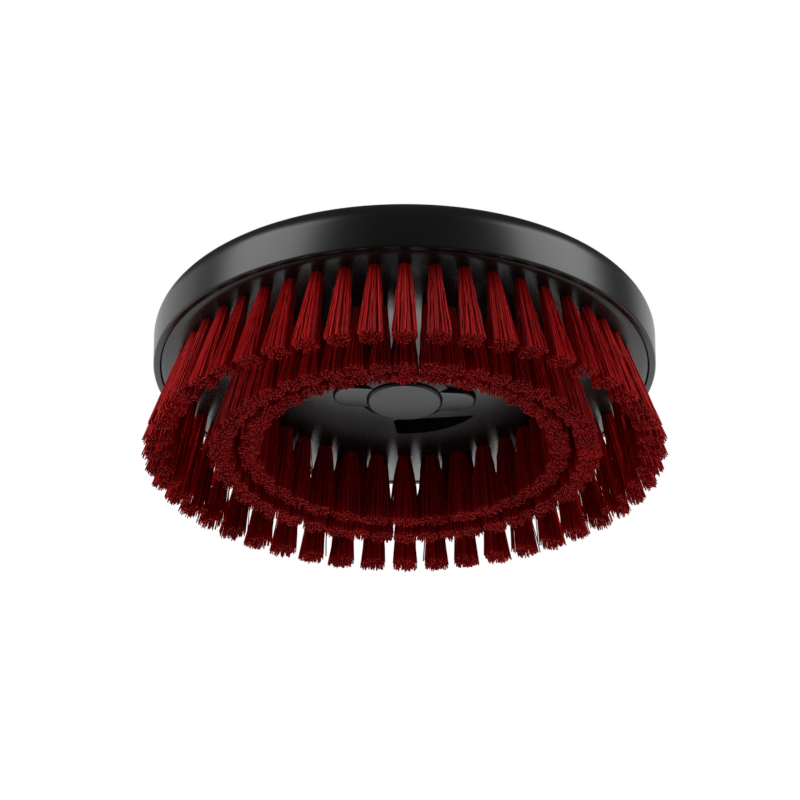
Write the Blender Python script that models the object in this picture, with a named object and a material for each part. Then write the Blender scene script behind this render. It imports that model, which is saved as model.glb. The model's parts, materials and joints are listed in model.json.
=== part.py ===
"""Rotary wheel brush head: a domed block with three rows of tufts, a cover and a twist-lock hub.

Metres. +Z is the spin axis and points away from the bristles. The origin is on that axis, in the
plane of the trimmed tips, so the brush stands on the XY plane with its bristles down.
"""

import math
from collections import namedtuple

import bmesh
import bpy
from mathutils import Matrix, Vector

# ---- Clearances -----------------------------------------------------------------------------
GAP = 0.0003  # between two pieces that seat on each other or turn past each other
THROUGH = 0.001  # how far a cutter runs past the faces it cuts

# ---- Cover: the outer shell with its flat top, rounded corner and wall ------------------------
BODY_RADIUS = 0.1000
WALL_HEIGHT = 0.0232  # rim plane to flat top
CORNER_RADIUS = 0.0105
COVER_WALL = 0.0028
COVER_TOP = 0.0040
RIM_CHAMFER = 0.0008
RIM_HEIGHT = 0.0384  # rim plane above the plane of the tips

# ---- Brush block: the domed carrier that holds the tufts --------------------------------------
DOME_DEPTH = 0.0112  # how far the flat centre hangs below the rim plane
DOME_FLAT_RADIUS = 0.0350
BLOCK_THICKNESS = 0.0080
WINDOW_RADIUS = 0.0328  # the drain windows' curved side
WINDOW_CHORD = 0.0204  # the drain windows' straight side, measured from the axis
WINDOW_END = 0.0070  # how far a window runs past the block's middle
WINDOW_ROUND = 0.0015
WINDOW_TURN = math.radians(-7)

# ---- Tufts ------------------------------------------------------------------------------------
OUTER_INSET = 0.0120  # body radius to the outer row's root circle
MIDDLE_STEP = 0.0215  # outer to middle root circle
INNER_STEP = 0.0095  # middle to inner root circle
ROOT_HALF = 0.0024  # half a tuft's width where it leaves the block
HOLE_CLEARANCE = 0.0004
STRIP_HALF = 0.0024  # half the width of the fused strip behind the block
STRIP_THICKNESS = 0.0020
GROUPS = 8  # nodes in each row
Row = namedtuple("Row", "name tufts root_radius splay tip_height tip_half")

# ---- Hub, drive sleeve and fasteners ------------------------------------------------------------
FLANGE_RADIUS = 0.0242
FLANGE_THICKNESS = 0.0110
COLLAR_RADIUS = 0.0168
COLLAR_RISE = 0.0050  # collar above the cover's flat top
POCKET_DEPTH = 0.0078  # room for the cam and its washer under the flange
SLEEVE_RADIUS = 0.0130
SOCKET_FLATS = 0.0170  # across the flats of the hexagon socket
HEAD_PASSAGE_RADIUS = 0.0090
HUB_SCREWS = 4
HUB_SCREW_CIRCLE = 0.0206
HUB_SCREW_ANGLE = math.radians(22.5)
COVER_SCREWS = 6
COVER_SCREW_ANGLE = math.radians(30)
POST_RADIUS = 0.0045
SCREW_HEAD_RADIUS = 0.0032
SCREW_HEAD_HEIGHT = 0.0018
SCREW_SHANK_RADIUS = 0.0015
SCREW_SOCKET_RADIUS = 0.0016
SCREW_SOCKET_DEPTH = 0.0010
SCREW_GRIP = 0.0060  # length of shank in the block or the post

# ---- Twist lock ---------------------------------------------------------------------------------
CAP_DROP = 0.0035  # cap face below the block's flat centre
CAP_RADIUS = 0.0151
CAP_THICKNESS = 0.0010
CAP_CHAMFER = 0.0009
BOSS_FOOT_RADIUS = 0.0185
WING_REACH = 0.0284
WING_HALF = 0.0080
WING_DROP = 0.0021  # wing face below the block's flat centre
WING_EDGE = 0.0010
WING_ANGLE = math.radians(6)  # where the wings stand when the lock is closed
LOCK_TURN = math.radians(85)  # from closed to open, between the stops
SHAFT_RADIUS = 0.0077
WASHER_ROOM = 0.0017
WASHER_INNER = 0.0110
WASHER_OUTER = 0.0160
WASHER_THICKNESS = 0.0005
WASHER_WAVE = 0.0004
WASHER_WAVES = 3
CAM_RADIUS = 0.0168
CAM_THICKNESS = 0.0040
CAM_LUG_HEIGHT = 0.0014
CAM_LUG_HALF = 0.0030
STOP_HALF = 0.0048  # half the width of the stops that end the cam's turn
KEY_FLATS = 0.0090  # hexagon key between shaft and cam
KEY_HEIGHT = 0.0022
KNOB_SCREW_RADIUS = 0.0020
KNOB_SCREW_GRIP = 0.0070
KNOB_SCREW_HEAD_RADIUS = 0.0036
SEAL_WIRE = 0.0009  # radius of the seal's round section
SEAL_ROOM = 0.0003

# ---- Facets of round pieces ---------------------------------------------------------------------
BODY_STEPS = 48
HUB_STEPS = 36
KNOB_STEPS = 30
SCREW_STEPS = 10
HOLE_STEPS = 8
ARC_STEPS = 5

# ---- Sizes that follow from the ones above ------------------------------------------------------
TOP_HEIGHT = RIM_HEIGHT + WALL_HEIGHT
BLOCK_RADIUS = BODY_RADIUS - COVER_WALL - GAP
CENTRE_UNDER = RIM_HEIGHT - DOME_DEPTH
CENTRE_BACK = CENTRE_UNDER + BLOCK_THICKNESS
OUTER_ROOT = BODY_RADIUS - OUTER_INSET
MIDDLE_ROOT = OUTER_ROOT - MIDDLE_STEP
INNER_ROOT = MIDDLE_ROOT - INNER_STEP
ROWS = (
    Row("outer_tufts", 48, OUTER_ROOT, 0.0120, 0.0, 0.0053),
    Row("middle_tufts", 48, MIDDLE_ROOT, 0.0060, 0.0, 0.0045),
    Row("inner_tufts", 32, INNER_ROOT, 0.0045, 0.0014, 0.0056),
)
POST_CIRCLE = (OUTER_ROOT + MIDDLE_ROOT) / 2 - 0.0015
FLANGE_FOOT = CENTRE_BACK + GAP
FLANGE_TOP = FLANGE_FOOT + FLANGE_THICKNESS
COLLAR_TOP = TOP_HEIGHT + COLLAR_RISE
CAM_FOOT = CENTRE_BACK + GAP + WASHER_ROOM
CAM_TOP = CAM_FOOT + CAM_THICKNESS
SHAFT_TOP = CAM_FOOT - GAP
CAP_FACE = CENTRE_UNDER - CAP_DROP
BOSS_FACE = CAP_FACE + CAP_THICKNESS + GAP
SEAL_CIRCLE = SHAFT_RADIUS + GAP + SEAL_ROOM + SEAL_WIRE
SEAL_BORE = SEAL_CIRCLE + SEAL_WIRE + SEAL_ROOM
SEAL_DEPTH = 2 * SEAL_WIRE + 2 * SEAL_ROOM
# The dome is faceted between these radii, so that every hole of a row falls inside one facet.
DOME_RADII = (
    DOME_FLAT_RADIUS,
    (DOME_FLAT_RADIUS + INNER_ROOT) / 2,
    (INNER_ROOT + MIDDLE_ROOT) / 2,
    POST_CIRCLE,
    BLOCK_RADIUS,
)

BLACK_GLOSS = ("black_gloss", (0.012, 0.012, 0.013), 0.16, 0.0)
BLACK_SATIN = ("black_satin", (0.014, 0.014, 0.015), 0.34, 0.0)
HUB_GREY = ("hub_plastic", (0.030, 0.030, 0.032), 0.45, 0.0)
RED_FILAMENT = ("red_filament", (0.300, 0.012, 0.014), 0.42, 0.0)
STEEL = ("zinc_steel", (0.55, 0.56, 0.58), 0.30, 1.0)
SEAL_RUBBER = ("seal_rubber", (0.020, 0.020, 0.020), 0.70, 0.0)


# ---- Modelling helpers --------------------------------------------------------------------------
def clear_scene():
    for obj in list(bpy.data.objects):
        bpy.data.objects.remove(obj)


def material(finish):
    name, colour, roughness, metallic = finish
    found = bpy.data.materials.get(name)
    if found:
        return found
    made = bpy.data.materials.new(name)
    made.use_nodes = True
    shader = made.node_tree.nodes["Principled BSDF"]
    shader.inputs["Base Color"].default_value = (*colour, 1.0)
    shader.inputs["Roughness"].default_value = roughness
    shader.inputs["Metallic"].default_value = metallic
    made.diffuse_color = (*colour, 1.0)
    return made


def mesh_from(name, shape):
    mesh = bpy.data.meshes.new(name)
    shape.to_mesh(mesh)
    shape.free()
    return mesh


def place(name, mesh, finish, parent=None, angle=0.0):
    """An object for one piece, turned about the spin axis."""
    obj = bpy.data.objects.new(name, mesh)
    bpy.context.scene.collection.objects.link(obj)
    if finish and not mesh.materials:
        mesh.materials.append(material(finish))
    mesh.shade_smooth()
    mesh.set_sharp_from_angle(angle=math.radians(32))
    obj.rotation_euler = (0.0, 0.0, angle)
    obj.parent = parent
    return obj


def empty(name):
    obj = bpy.data.objects.new(name, None)
    bpy.context.scene.collection.objects.link(obj)
    return obj


def cut(obj, shape, operation="DIFFERENCE"):
    """Cuts a shape from an object, or joins it on, with a Boolean and a hidden helper."""
    helper = bpy.data.objects.new(obj.name + "_" + operation.lower(), mesh_from("helper", shape))
    bpy.context.scene.collection.objects.link(helper)
    helper.hide_render = True
    helper.display_type = "WIRE"
    helper.parent = obj.parent
    helper.rotation_euler = obj.rotation_euler
    boolean = obj.modifiers.new(operation.title(), "BOOLEAN")
    boolean.operation = operation
    boolean.solver = "EXACT"
    boolean.object = helper
    return helper


def turned(profile, steps, start=0.0, sweep=2 * math.pi):
    """A shape turned about Z. The profile lists (radius, height) points round its section."""
    shape = bmesh.new()
    verts = [shape.verts.new((radius, 0.0, height)) for radius, height in profile]
    solid = profile[0][0] == 0.0 and profile[-1][0] == 0.0
    pairs = list(zip(verts, verts[1:]))
    if not solid:
        pairs.append((verts[-1], verts[0]))
    edges = [shape.edges.new(pair) for pair in pairs]
    bmesh.ops.rotate(shape, verts=verts, matrix=Matrix.Rotation(start, 3, "Z"))
    full = sweep > 2 * math.pi - 1e-6
    bmesh.ops.spin(
        shape, geom=verts + edges, axis=(0, 0, 1), angle=sweep, steps=steps, use_merge=full
    )
    bmesh.ops.remove_doubles(shape, verts=shape.verts, dist=1e-7)
    if not full:
        bmesh.ops.holes_fill(shape, edges=shape.edges)
    bmesh.ops.recalc_face_normals(shape, faces=shape.faces)
    return shape


def add_prism(shape, foot_radius, top_radius, foot, top, sides, centre=(0.0, 0.0), lean=0.0, angle=0.0):
    """Adds a prism or cone with level ends. Lean moves it inwards along X as it rises."""
    made = bmesh.ops.create_cone(
        shape,
        cap_ends=True,
        segments=sides,
        radius1=foot_radius,
        radius2=top_radius,
        depth=top - foot,
    )["verts"]
    shear = Matrix.Identity(4)
    shear[0][2] = -lean
    lift = Matrix.Translation(((centre[0] - lean * (top - foot) / 2), centre[1], (foot + top) / 2))
    bmesh.ops.transform(shape, verts=made, matrix=Matrix.Rotation(angle, 4, "Z") @ lift @ shear)
    return made


def add_bar(shape, inner, outer, half, foot, top, angle):
    """Adds a straight bar that runs outwards from the axis at an angle."""
    made = bmesh.ops.create_cube(shape, size=1.0)["verts"]
    size = Matrix.Diagonal((outer - inner, 2 * half, top - foot, 1.0))
    lift = Matrix.Translation(((inner + outer) / 2, 0.0, (foot + top) / 2))
    bmesh.ops.transform(shape, verts=made, matrix=Matrix.Rotation(angle, 4, "Z") @ lift @ size)


def around(count, first=0.0):
    return [first + 2 * math.pi * index / count for index in range(count)]


def arc(centre_radius, centre_height, radius, start, end, steps):
    """Points of a rounded corner in a turned profile, with angles in degrees from the outward side."""
    points = []
    for index in range(steps + 1):
        angle = math.radians(start + (end - start) * index / steps)
        points.append(
            (centre_radius + radius * math.cos(angle), centre_height + radius * math.sin(angle))
        )
    return points


# ---- Block and tufts ------------------------------------------------------------------------------
def dome(radius):
    """Height of the block's underside: flat in the middle, then rising ever more steeply."""
    if radius <= DOME_FLAT_RADIUS:
        return CENTRE_UNDER
    share = (radius - DOME_FLAT_RADIUS) / (BLOCK_RADIUS - DOME_FLAT_RADIUS)
    return RIM_HEIGHT - DOME_DEPTH * math.cos(share * math.pi / 2)


def faceted_dome(radius):
    """The same height on the straight facets between DOME_RADII."""
    for low, high in zip(DOME_RADII, DOME_RADII[1:]):
        if low <= radius <= high:
            share = (radius - low) / (high - low)
            return dome(low) * (1 - share) + dome(high) * share
    return dome(radius)


def tuft_axis(row):
    """(root height, inward move for each metre of rise) of a row's tufts."""
    root = faceted_dome(row.root_radius)
    return root, row.splay / (root - row.tip_height)


def strip_radius(row):
    """Where the middle of a tuft meets the fused strip behind the block."""
    _, lean = tuft_axis(row)
    return row.root_radius - lean * (BLOCK_THICKNESS + GAP + STRIP_THICKNESS / 2)


def tuft_angles(row):
    return around(row.tufts, -math.pi / 2)


def tuft_holes():
    shape = bmesh.new()
    for row in ROWS:
        root, lean = tuft_axis(row)
        foot = root - 0.003
        top = root + BLOCK_THICKNESS + 0.003
        for angle in tuft_angles(row):
            add_prism(
                shape,
                ROOT_HALF + HOLE_CLEARANCE,
                ROOT_HALF + HOLE_CLEARANCE,
                foot,
                top,
                6,
                centre=(row.root_radius + lean * 0.003, 0.0),
                lean=lean,
                angle=angle,
            )
    return shape


def tuft_group(row):
    """One node of a row: some tufts and the strip of melted filament that joins them."""
    per_group = row.tufts // GROUPS
    pitch = 2 * math.pi / row.tufts
    first = tuft_angles(row)[0]
    spare = GAP / row.root_radius
    middle = strip_radius(row)
    inner, outer = middle - STRIP_HALF, middle + STRIP_HALF
    seat_inner = faceted_dome(inner) + BLOCK_THICKNESS + GAP
    seat_outer = faceted_dome(outer) + BLOCK_THICKNESS + GAP
    strip = turned(
        (
            (inner, seat_inner),
            (outer, seat_outer),
            (outer, seat_outer + STRIP_THICKNESS),
            (inner, seat_inner + STRIP_THICKNESS),
        ),
        per_group,
        first - pitch / 2 + spare,
        per_group * pitch - 2 * spare,
    )
    root, lean = tuft_axis(row)
    top = faceted_dome(middle) + BLOCK_THICKNESS + GAP + STRIP_THICKNESS / 2
    flare = (row.tip_half - ROOT_HALF) / (root - row.tip_height)
    bundle = bmesh.new()
    for index in range(per_group):
        add_prism(
            bundle,
            row.tip_half,
            ROOT_HALF - flare * (top - root),
            row.tip_height,
            top,
            6,
            centre=(row.root_radius + row.splay, 0.0),
            lean=lean,
            angle=first + index * pitch,
        )
    raw = bpy.data.objects.new("raw_" + row.name, mesh_from("raw", strip))
    bpy.context.scene.collection.objects.link(raw)
    helper = cut(raw, bundle, "UNION")
    graph = bpy.context.evaluated_depsgraph_get()
    joined = bpy.data.meshes.new_from_object(raw.evaluated_get(graph))
    joined.name = row.name
    for obj in (raw, helper):
        bpy.data.objects.remove(obj)
    return joined


def window(turn):
    """A drain window: the part of a disc beyond a chord, cut off square at one end."""
    first = math.acos(-WINDOW_END / WINDOW_RADIUS)
    last = math.asin(WINDOW_CHORD / WINDOW_RADIUS)
    shape = bmesh.new()
    low = CENTRE_UNDER - THROUGH
    points = [Vector((-WINDOW_END, WINDOW_CHORD, low))]
    for index in range(ARC_STEPS + 1):
        angle = last + (first - last) * index / ARC_STEPS
        x = WINDOW_RADIUS * math.cos(angle)
        y = WINDOW_RADIUS * math.sin(angle)
        points.append(Vector((x, y, low)))
    face = shape.faces.new([shape.verts.new(point) for point in points])
    raised = bmesh.ops.extrude_face_region(shape, geom=[face])["geom"]
    risen = [item for item in raised if isinstance(item, bmesh.types.BMVert)]
    bmesh.ops.translate(shape, verts=risen, vec=(0, 0, BLOCK_THICKNESS + 2 * THROUGH))
    corners = [
        edge
        for edge in shape.edges
        if abs(edge.verts[0].co.x + WINDOW_END) < 1e-6 and abs(edge.verts[1].co.x + WINDOW_END) < 1e-6
        and abs(edge.verts[0].co.z - edge.verts[1].co.z) > THROUGH
    ]
    bmesh.ops.bevel(
        shape, geom=corners, offset=WINDOW_ROUND, affect="EDGES", segments=2, profile=0.5, material=-1
    )
    bmesh.ops.recalc_face_normals(shape, faces=shape.faces)
    bmesh.ops.rotate(shape, verts=shape.verts, matrix=Matrix.Rotation(turn, 3, "Z"))
    return shape


def brush_block(parent):
    under = [(radius, dome(radius)) for radius in DOME_RADII]
    back = [(radius, dome(radius) + BLOCK_THICKNESS) for radius in reversed(DOME_RADII)]
    bore = SHAFT_RADIUS + GAP
    seat = CENTRE_UNDER + SEAL_DEPTH
    profile = [(SEAL_BORE, CENTRE_UNDER), *under, *back]
    profile += [(bore, CENTRE_BACK), (bore, seat), (SEAL_BORE, seat)]
    half_step = math.pi / BODY_STEPS
    shape = turned(profile, BODY_STEPS, start=half_step)
    obj = place("brush_block", mesh_from("brush_block", shape), BLACK_GLOSS, parent)
    posts = bmesh.new()
    pilots = bmesh.new()
    post_top = TOP_HEIGHT - COVER_TOP - GAP
    for angle in around(COVER_SCREWS, COVER_SCREW_ANGLE):
        foot = dome(POST_CIRCLE) + BLOCK_THICKNESS / 2
        at = (POST_CIRCLE, 0.0)
        add_prism(posts, POST_RADIUS, POST_RADIUS, foot, post_top, SCREW_STEPS, at, angle=angle)
        pilot = SCREW_SHANK_RADIUS + GAP
        depth = post_top - SCREW_GRIP - THROUGH
        add_prism(pilots, pilot, pilot, depth, post_top + THROUGH, HOLE_STEPS, at, angle=angle)
    for angle in around(HUB_SCREWS, HUB_SCREW_ANGLE):
        pilot = SCREW_SHANK_RADIUS + GAP
        depth = CENTRE_BACK - SCREW_GRIP - THROUGH / 2
        at = (HUB_SCREW_CIRCLE, 0.0)
        add_prism(pilots, pilot, pilot, depth, CENTRE_BACK + THROUGH, HOLE_STEPS, at, angle=angle)
    cut(obj, posts, "UNION")
    cut(obj, tuft_holes())
    cut(obj, pilots)
    for turn in around(2, WINDOW_TURN):
        cut(obj, window(turn))
    return obj


def tufts(parent):
    for row in ROWS:
        joined = tuft_group(row)
        for index, angle in enumerate(around(GROUPS)):
            place(f"{row.name}_{index + 1}", joined, RED_FILAMENT, parent, angle)


# ---- Cover ------------------------------------------------------------------------------------------
def cover(parent):
    bore = COLLAR_RADIUS + GAP
    inner_top = TOP_HEIGHT - COVER_TOP
    inner_radius = BODY_RADIUS - COVER_WALL
    inner_corner = CORNER_RADIUS - COVER_TOP
    profile = [(bore, TOP_HEIGHT)]
    profile += arc(
        BODY_RADIUS - CORNER_RADIUS, TOP_HEIGHT - CORNER_RADIUS, CORNER_RADIUS, 90, 0, ARC_STEPS
    )
    profile += [
        (BODY_RADIUS, RIM_HEIGHT + RIM_CHAMFER),
        (BODY_RADIUS - RIM_CHAMFER, RIM_HEIGHT),
        (inner_radius, RIM_HEIGHT),
    ]
    profile += arc(inner_radius - inner_corner, inner_top - inner_corner, inner_corner, 0, 90, 2)
    profile.append((bore, inner_top))
    shape = turned(profile, BODY_STEPS, start=math.pi / BODY_STEPS)
    obj = place("cover", mesh_from("cover", shape), BLACK_SATIN, parent)
    pockets = bmesh.new()
    holes = bmesh.new()
    head = SCREW_HEAD_RADIUS + GAP
    shank = SCREW_SHANK_RADIUS + GAP
    seat = TOP_HEIGHT - SCREW_HEAD_HEIGHT - GAP
    at = (POST_CIRCLE, 0.0)
    for angle in around(COVER_SCREWS, COVER_SCREW_ANGLE):
        add_prism(pockets, head, head, seat, TOP_HEIGHT + THROUGH, SCREW_STEPS, at, angle=angle)
        add_prism(holes, shank, shank, inner_top - THROUGH, seat + THROUGH, HOLE_STEPS, at, angle=angle)
    cut(obj, pockets)
    cut(obj, holes)
    return obj


# ---- Hub ----------------------------------------------------------------------------------------------
def hub_flange(parent):
    pocket = CAM_RADIUS + GAP
    pocket_top = FLANGE_FOOT + POCKET_DEPTH
    sleeve_bore = SLEEVE_RADIUS + GAP
    profile = (
        (pocket, FLANGE_FOOT),
        (FLANGE_RADIUS, FLANGE_FOOT),
        (FLANGE_RADIUS, FLANGE_TOP),
        (COLLAR_RADIUS, FLANGE_TOP),
        (COLLAR_RADIUS, COLLAR_TOP),
        (sleeve_bore, COLLAR_TOP),
        (sleeve_bore, FLANGE_TOP),
        (HEAD_PASSAGE_RADIUS, FLANGE_TOP),
        (HEAD_PASSAGE_RADIUS, pocket_top),
        (pocket, pocket_top),
    )
    shape = turned(profile, HUB_STEPS)
    obj = place("hub_flange", mesh_from("hub_flange", shape), HUB_GREY, parent)
    stops = bmesh.new()
    for angle in around(2, WING_ANGLE + (LOCK_TURN + math.pi) / 2):
        add_bar(
            stops,
            HEAD_PASSAGE_RADIUS,
            pocket + THROUGH,
            STOP_HALF,
            CAM_TOP + GAP,
            pocket_top + THROUGH,
            angle,
        )
    cut(obj, stops, "UNION")
    holes = bmesh.new()
    shank = SCREW_SHANK_RADIUS + GAP
    for angle in around(HUB_SCREWS, HUB_SCREW_ANGLE):
        at = (HUB_SCREW_CIRCLE, 0.0)
        add_prism(
            holes, shank, shank, FLANGE_FOOT - THROUGH, FLANGE_TOP + THROUGH, HOLE_STEPS, at, angle=angle
        )
    cut(obj, holes)
    return obj


def drive_sleeve(parent):
    """Steel sleeve with the hexagon socket that takes the tool's spindle."""
    foot = FLANGE_TOP + GAP
    profile = ((0.0, foot), (SLEEVE_RADIUS, foot), (SLEEVE_RADIUS, COLLAR_TOP), (0.0, COLLAR_TOP))
    shape = turned(profile, HUB_STEPS)
    obj = place("drive_sleeve", mesh_from("drive_sleeve", shape), STEEL, parent)
    socket = bmesh.new()
    corner = SOCKET_FLATS / math.sqrt(3)
    add_prism(socket, corner, corner, foot - THROUGH, COLLAR_TOP + THROUGH, 6)
    cut(obj, socket)
    return obj


def screw(name, head_foot, shank_length, circle, angle, parent):
    """Socket-head screw. Its head rests at head_foot and its shank points down."""
    profile = (
        (0.0, head_foot - shank_length),
        (SCREW_SHANK_RADIUS, head_foot - shank_length),
        (SCREW_SHANK_RADIUS, head_foot),
        (SCREW_HEAD_RADIUS, head_foot),
        (SCREW_HEAD_RADIUS, head_foot + SCREW_HEAD_HEIGHT),
        (SCREW_SOCKET_RADIUS, head_foot + SCREW_HEAD_HEIGHT),
        (SCREW_SOCKET_RADIUS, head_foot + SCREW_HEAD_HEIGHT - SCREW_SOCKET_DEPTH),
        (0.0, head_foot + SCREW_HEAD_HEIGHT - SCREW_SOCKET_DEPTH),
    )
    mesh = bpy.data.meshes.get(name.rsplit("_", 1)[0])
    if mesh is None:
        mesh = mesh_from(name.rsplit("_", 1)[0], turned(profile, SCREW_STEPS))
    obj = place(name, mesh, STEEL, parent, angle)
    obj.location = (circle * math.cos(angle), circle * math.sin(angle), 0.0)
    return obj


def screws(parent):
    for index, angle in enumerate(around(HUB_SCREWS, HUB_SCREW_ANGLE)):
        length = FLANGE_THICKNESS + 2 * GAP + SCREW_GRIP
        screw(f"hub_screw_{index + 1}", FLANGE_TOP + GAP, length, HUB_SCREW_CIRCLE, angle, parent)
    seat = TOP_HEIGHT - SCREW_HEAD_HEIGHT
    for index, angle in enumerate(around(COVER_SCREWS, COVER_SCREW_ANGLE)):
        length = seat - (TOP_HEIGHT - COVER_TOP - GAP) + SCREW_GRIP
        screw(f"cover_screw_{index + 1}", seat, length, POST_CIRCLE, angle, parent)


def wave_washer(parent):
    """Sprung washer under the cam. Its waves press on the block and on the cam."""
    middle = (CENTRE_BACK + CAM_FOOT) / 2
    low = middle - WASHER_THICKNESS / 2
    high = middle + WASHER_THICKNESS / 2
    profile = ((WASHER_INNER, low), (WASHER_OUTER, low), (WASHER_OUTER, high), (WASHER_INNER, high))
    shape = turned(profile, HUB_STEPS)
    for vert in shape.verts:
        vert.co.z += WASHER_WAVE * math.cos(WASHER_WAVES * math.atan2(vert.co.y, vert.co.x))
    return place("wave_washer", mesh_from("wave_washer", shape), STEEL, parent)


def shaft_seal(parent):
    middle = CENTRE_UNDER + SEAL_DEPTH / 2
    profile = arc(SEAL_CIRCLE, middle, SEAL_WIRE, 0, 300, 5)
    shape = turned(profile, KNOB_STEPS)
    return place("shaft_seal", mesh_from("shaft_seal", shape), SEAL_RUBBER, parent)


# ---- Twist lock ------------------------------------------------------------------------------------------
def lock_knob(parent):
    """Finger knob with two wings, and the shaft that carries its turn up to the cam."""
    top = CENTRE_UNDER - GAP
    profile = (
        (0.0, BOSS_FACE),
        (CAP_RADIUS - CAP_CHAMFER, BOSS_FACE),
        (BOSS_FOOT_RADIUS, top),
        (SHAFT_RADIUS, top),
        (SHAFT_RADIUS, SHAFT_TOP),
        (0.0, SHAFT_TOP),
    )
    obj = place("lock_knob", mesh_from("lock_knob", turned(profile, KNOB_STEPS)), BLACK_GLOSS, parent)
    wing_face = CENTRE_UNDER - WING_DROP
    wings = bmesh.new()
    bmesh.ops.create_cube(wings, size=1.0)
    bmesh.ops.scale(wings, verts=wings.verts, vec=(2 * WING_REACH, 2 * WING_HALF, top - wing_face))
    bmesh.ops.translate(wings, verts=wings.verts, vec=(0, 0, (top + wing_face) / 2))
    uprights = [edge for edge in wings.edges if abs(edge.verts[0].co.z - edge.verts[1].co.z) > WING_EDGE]
    bmesh.ops.bevel(
        wings,
        geom=uprights,
        offset=WING_HALF * 0.9,
        affect="EDGES",
        segments=4,
        profile=0.5,
        material=-1,
    )
    rim = [edge for edge in wings.edges if max(vert.co.z for vert in edge.verts) < wing_face + 1e-6]
    bmesh.ops.bevel(
        wings, geom=rim, offset=WING_EDGE, affect="EDGES", segments=2, profile=0.5, material=-1
    )
    bmesh.ops.rotate(wings, verts=wings.verts, matrix=Matrix.Rotation(WING_ANGLE, 3, "Z"))
    cut(obj, wings, "UNION")
    key = bmesh.new()
    corner = KEY_FLATS / math.sqrt(3)
    add_prism(key, corner, corner, SHAFT_TOP - KEY_HEIGHT, SHAFT_TOP + KEY_HEIGHT, 6)
    cut(obj, key, "UNION")
    pilot = bmesh.new()
    radius = KNOB_SCREW_RADIUS + GAP
    bottom = SHAFT_TOP + KEY_HEIGHT - KNOB_SCREW_GRIP - THROUGH
    add_prism(pilot, radius, radius, bottom, SHAFT_TOP + KEY_HEIGHT + THROUGH, HOLE_STEPS)
    cut(obj, pilot)
    return obj


def knob_cap(parent):
    top = CAP_FACE + CAP_THICKNESS
    profile = (
        (0.0, CAP_FACE),
        (CAP_RADIUS - CAP_CHAMFER, CAP_FACE),
        (CAP_RADIUS, CAP_FACE + CAP_CHAMFER),
        (CAP_RADIUS, top),
        (0.0, top),
    )
    return place("knob_cap", mesh_from("knob_cap", turned(profile, KNOB_STEPS)), BLACK_GLOSS, parent)


def lock_cam(parent):
    """Disc with two lugs that turn into the spindle's groove."""
    profile = ((0.0, CAM_FOOT), (CAM_RADIUS, CAM_FOOT), (CAM_RADIUS, CAM_TOP), (0.0, CAM_TOP))
    obj = place("lock_cam", mesh_from("lock_cam", turned(profile, HUB_STEPS)), STEEL, parent)
    lugs = bmesh.new()
    reach = CAM_RADIUS - 2 * THROUGH
    for angle in around(2, WING_ANGLE):
        add_bar(
            lugs,
            HEAD_PASSAGE_RADIUS,
            reach,
            CAM_LUG_HALF,
            CAM_TOP - THROUGH,
            CAM_TOP + CAM_LUG_HEIGHT,
            angle,
        )
    cut(obj, lugs, "UNION")
    key = bmesh.new()
    corner = KEY_FLATS / math.sqrt(3) + GAP
    add_prism(key, corner, corner, CAM_FOOT - THROUGH, CAM_FOOT + KEY_HEIGHT, 6)
    cut(obj, key)
    hole = bmesh.new()
    radius = KNOB_SCREW_RADIUS + GAP
    add_prism(hole, radius, radius, CAM_FOOT, CAM_TOP + THROUGH, HOLE_STEPS)
    cut(obj, hole)
    return obj


def knob_screw(parent):
    seat = CAM_TOP + GAP
    tip = SHAFT_TOP + KEY_HEIGHT - KNOB_SCREW_GRIP
    profile = (
        (0.0, tip),
        (KNOB_SCREW_RADIUS, tip),
        (KNOB_SCREW_RADIUS, seat),
        (KNOB_SCREW_HEAD_RADIUS, seat),
        (KNOB_SCREW_HEAD_RADIUS, seat + SCREW_HEAD_HEIGHT),
        (SCREW_SOCKET_RADIUS, seat + SCREW_HEAD_HEIGHT),
        (SCREW_SOCKET_RADIUS, seat + SCREW_HEAD_HEIGHT - SCREW_SOCKET_DEPTH),
        (0.0, seat + SCREW_HEAD_HEIGHT - SCREW_SOCKET_DEPTH),
    )
    return place("knob_screw", mesh_from("knob_screw", turned(profile, SCREW_STEPS)), STEEL, parent)


def build():
    clear_scene()
    head = empty("brush_head")
    cover(head)
    brush_block(head)
    tufts(head)
    hub_flange(head)
    drive_sleeve(head)
    screws(head)
    wave_washer(head)
    shaft_seal(head)
    lock = empty("twist_lock")
    lock.location = (0.0, 0.0, 0.0)
    lock_knob(lock)
    knob_cap(lock)
    lock_cam(lock)
    knob_screw(lock)


build()
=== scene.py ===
"""Finish for the wheel brush: fine shells, filament tufts, the twist lock, materials and the studio.

Metres, +Z up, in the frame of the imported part: the tips stand on the XY plane and +Z is the spin axis.
"""

import json
import math
import random
from collections import namedtuple

import bmesh
import bpy
from bpy.props import FloatProperty, FloatVectorProperty, IntProperty, PointerProperty
from mathutils import Matrix, Vector


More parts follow.
